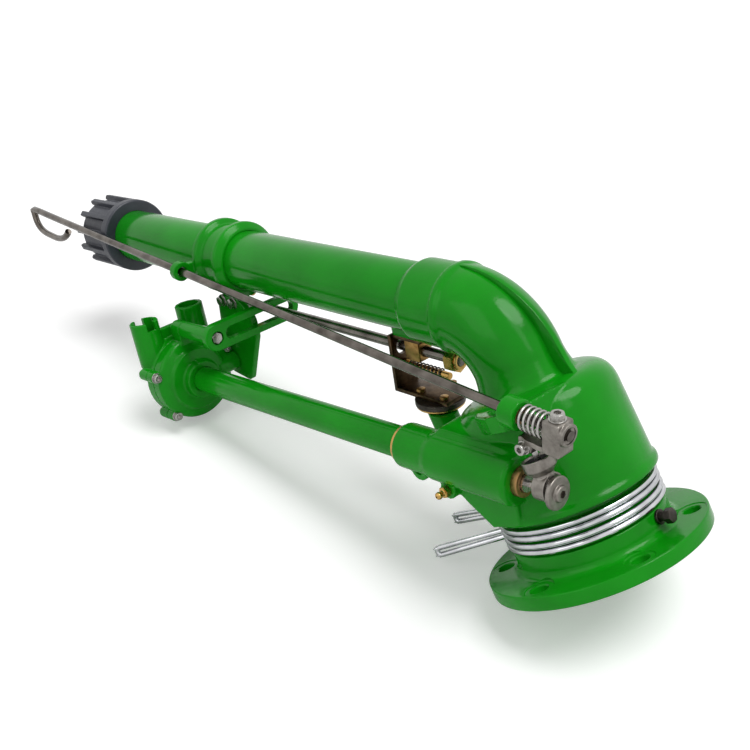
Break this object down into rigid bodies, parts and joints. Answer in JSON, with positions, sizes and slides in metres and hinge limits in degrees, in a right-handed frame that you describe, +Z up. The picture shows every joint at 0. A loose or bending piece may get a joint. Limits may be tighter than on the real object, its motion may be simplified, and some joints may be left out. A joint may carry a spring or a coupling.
{
  "type": "large turbine-driven sprinkler gun",
  "caption": "Large irrigation gun on a bolted flange, with inclined barrel, worm drive, jet breaker rod and reversing stops.",
  "frame": {"origin": "centre of the flange's bottom face, on the swing axis", "axes": "+Z up the swing axis; +X the way the barrel throws, in plan"},
  "size_m": [0.7815, 0.2125, 0.5411],
  "materials": {
    "green_paint": "glossy enamel on castings and tubes",
    "stainless_steel": "plain stainless",
    "plated_wire": "bright plating",
    "brass": "turned",
    "bronze": "oiled bearing bronze",
    "dark_steel": "dark, oiled",
    "slate_plastic": "moulded, slightly rough",
    "rubber": "matte"
  },
  "bodies": {
    "base": {"base_flange": "green_paint", "neck_bolt": "dark_steel", "riser_tube": "stainless_steel", "wheel_spacer": "dark_steel", "worm_wheel": "bronze", "riser_nut": "stainless_steel"},
    "lower_ring": {"stop_ring_lower": "plated_wire"},
    "upper_ring": {"stop_ring_upper": "plated_wire"},
    "gun": {"gun_body": "green_paint", "lower_bush": "bronze", "upper_bearing": "stainless_steel", "top_seal": "rubber", "barrel_rear": "green_paint", "stream_straightener": "slate_plastic", "barrel_collar": "green_paint", "barrel_front": "green_paint", "nozzle_ring": "brass", "nozzle_cap": "slate_plastic", "drive_tube": "green_paint", "tube_gland": "brass", "rear_bush": "bronze", "front_bush": "bronze", "rod_bush": "bronze", "grease_nipple": "brass", "turbine_housing": "green_paint", "turbine_cover": "green_paint", "turbine_bracket": "green_paint", "slotted_guide": "green_paint", "guide_bolt": "stainless_steel", "drive_jet_nozzle": "brass", "switch_frame": "brass", "toggle_rod": "brass", "switch_pin": "brass", "switch_cover": "dark_steel"},
    "drive_train": {"drive_shaft": "stainless_steel", "worm": "stainless_steel", "turbine_wheel": "slate_plastic", "eccentric": "stainless_steel", "crank_screw": "stainless_steel"},
    "strap": {"crank_strap": "stainless_steel"},
    "jet_breaker": {"jet_breaker_rod": "stainless_steel", "rod_lever": "stainless_steel", "link_pin": "stainless_steel", "rod_spring": "stainless_steel"},
    "reverser": {"reversing_rod": "stainless_steel", "pivot_block": "brass", "rod_nut": "brass", "deflector": "stainless_steel", "deflector_nut": "stainless_steel"},
    "trip": {"trip_shaft": "dark_steel"},
    "roller": {"trip_roller": "stainless_steel"}
  },
  "joints": [
    {"name": "lower_ring_turn", "type": "hinge", "parent": "base", "child": "lower_ring", "pos_m": [0, 0, 0.037], "axis": [0, 0, 1], "range_deg": [-25, 30]},
    {"name": "upper_ring_turn", "type": "hinge", "parent": "base", "child": "upper_ring", "pos_m": [0, 0, 0.049], "axis": [0, 0, 1], "range_deg": [-4, 35]},
    {"name": "gun_swing", "type": "hinge", "parent": "base", "child": "gun", "pos_m": [0, 0, 0.1], "axis": [0, 0, 1], "range_deg": [-270, 10]},
    {"name": "drive_spin", "type": "hinge", "parent": "gun", "child": "drive_train", "pos_m": [0, 0.07, 0.1059], "axis": [0.9316, 0, 0.3634], "continuous": true},
    {"name": "strap_turn", "type": "hinge", "parent": "drive_train", "child": "strap", "pos_m": [-0.05007, 0.07, 0.0898], "axis": [0.9316, 0, 0.3634], "continuous": true},
    {"name": "jet_breaker_rock", "type": "hinge", "parent": "gun", "child": "jet_breaker", "pos_m": [-0.0536, 0.07, 0.1449], "axis": [0.8799, -0.0357, 0.4739], "range_deg": [-4.5, 4.5], "stiffness_Nm_per_rad": 2},
    {"name": "reverser_swing", "type": "hinge", "parent": "gun", "child": "reverser", "pos_m": [0.12124, -0.009, 0.20133], "axis": [-0.4067, 0, 0.9135], "range_deg": [-2.2, 2.2]},
    {"name": "trip_swing", "type": "hinge", "parent": "gun", "child": "trip", "pos_m": [0.114, 0, 0.1], "axis": [0, 0, 1], "range_deg": [-12, 12]},
    {"name": "roller_spin", "type": "hinge", "parent": "trip", "child": "roller", "pos_m": [0.124, -0.034, 0.045], "axis": [0, 0, 1], "continuous": true}
  ],
  "couplings": [
    {"joint": "drive_spin", "follows": "gun_swing", "ratio": 40},
    {"joint": "strap_turn", "follows": "gun_swing", "ratio": -40},
    {"joint": "trip_swing", "follows": "reverser_swing", "ratio": 5.4}
  ]
}
